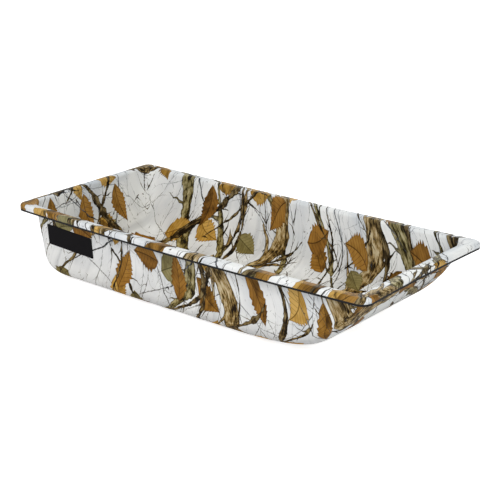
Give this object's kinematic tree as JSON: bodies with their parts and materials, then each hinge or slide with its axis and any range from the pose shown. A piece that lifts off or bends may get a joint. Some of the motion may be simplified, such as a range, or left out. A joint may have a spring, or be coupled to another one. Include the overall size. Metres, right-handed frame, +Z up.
{
  "type": "ice fishing sled",
  "caption": "Long, low tub-shaped tow sled with a rolled rim, drafted walls, an upswept front, runners under the floor and drilled rope holes.",
  "frame": {"origin": "centre of the bounding box in plan, at the height of the runners' undersides", "axes": "+X towards the upswept towed end, +Y to the left of travel, +Z up"},
  "size_m": [1.372, 0.64, 0.2614],
  "materials": {
    "printed_sheet": "semi-gloss thermoformed polyethylene sheet with a winter foliage print on both faces",
    "label_film": "satin black vinyl label, bare"
  },
  "bodies": {
    "root": {"hull": "printed_sheet", "side_label": "label_film"}
  },
  "joints": []
}
